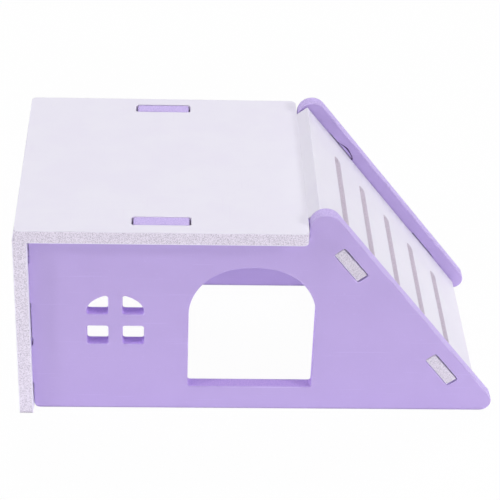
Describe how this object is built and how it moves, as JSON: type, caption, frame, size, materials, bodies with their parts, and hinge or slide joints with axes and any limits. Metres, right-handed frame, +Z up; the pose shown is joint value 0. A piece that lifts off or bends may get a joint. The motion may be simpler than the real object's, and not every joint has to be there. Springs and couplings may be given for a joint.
{
  "type": "small-animal hideout with climbing ramp",
  "caption": "Flat-pack hideout of slotted boards: arched doorways and windows in the side walls, a flat roof and a grooved ramp that climbs to it.",
  "frame": {"origin": "on the ground, in the middle of the footprint", "axes": "+X from the end wall to the foot of the ramp, +Y across the hideout from the front wall to the back wall, +Z up"},
  "size_m": [0.1734, 0.095, 0.0845],
  "materials": {
    "purple_board": "light purple foam board, satin skin on both faces and a fine matt grain on the cut edges",
    "white_board": "near-white foam board, satin skin on both faces and an open grain on the cut edges"
  },
  "bodies": {
    "root": {"front_wall": "purple_board", "back_wall": "purple_board", "roof": "white_board", "end_wall": "white_board", "ramp": "white_board"}
  },
  "joints": []
}
